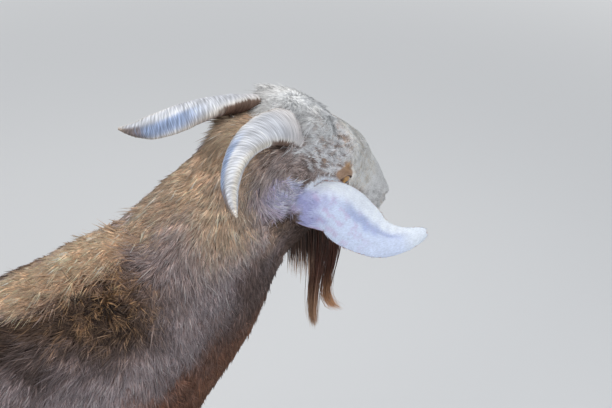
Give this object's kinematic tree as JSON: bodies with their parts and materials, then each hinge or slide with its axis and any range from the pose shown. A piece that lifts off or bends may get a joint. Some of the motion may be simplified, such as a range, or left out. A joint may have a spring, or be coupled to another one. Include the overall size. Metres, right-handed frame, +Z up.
{
  "type": "goat",
  "caption": "Standing horned goat, life size, with forward-held ears, a beard, cloven hooves and a raised short tail, head lowered and turned a little to its left.",
  "frame": {"origin": "middle of the bounding box's bottom face, on the ground under the chest and belly", "axes": "+X towards the animal's front, +Y to its left, +Z up"},
  "size_m": [1.1982, 0.3982, 0.9147],
  "materials": {
    "coat": "medium-length hair, tan and taupe",
    "beard_hair": "long coarse rust-brown hair",
    "ear_skin": "thin skin under short white hair",
    "horn": "keratin, matt, finely ringed",
    "hoof_horn": "keratin, matt",
    "eye": "glossy, wet"
  },
  "bodies": {
    "root": {"trunk": "coat", "neck": "coat", "head": "coat", "tail": "coat", "beard": "beard_hair", "horn_left": "horn", "horn_right": "horn", "ear_left": "ear_skin", "ear_right": "ear_skin", "eye_left": "eye", "eye_right": "eye", "front_left_upper_leg": "coat", "front_left_lower_leg": "coat", "front_left_claw_right": "hoof_horn", "front_left_dewclaw_right": "hoof_horn", "front_left_claw_left": "hoof_horn", "front_left_dewclaw_left": "hoof_horn", "hind_left_upper_leg": "coat", "hind_left_lower_leg": "coat", "hind_left_claw_right": "hoof_horn", "hind_left_dewclaw_right": "hoof_horn", "hind_left_claw_left": "hoof_horn", "hind_left_dewclaw_left": "hoof_horn", "front_right_upper_leg": "coat", "front_right_lower_leg": "coat", "front_right_claw_left": "hoof_horn", "front_right_dewclaw_left": "hoof_horn", "front_right_claw_right": "hoof_horn", "front_right_dewclaw_right": "hoof_horn", "hind_right_upper_leg": "coat", "hind_right_lower_leg": "coat", "hind_right_claw_left": "hoof_horn", "hind_right_dewclaw_left": "hoof_horn", "hind_right_claw_right": "hoof_horn", "hind_right_dewclaw_right": "hoof_horn"}
  },
  "joints": []
}
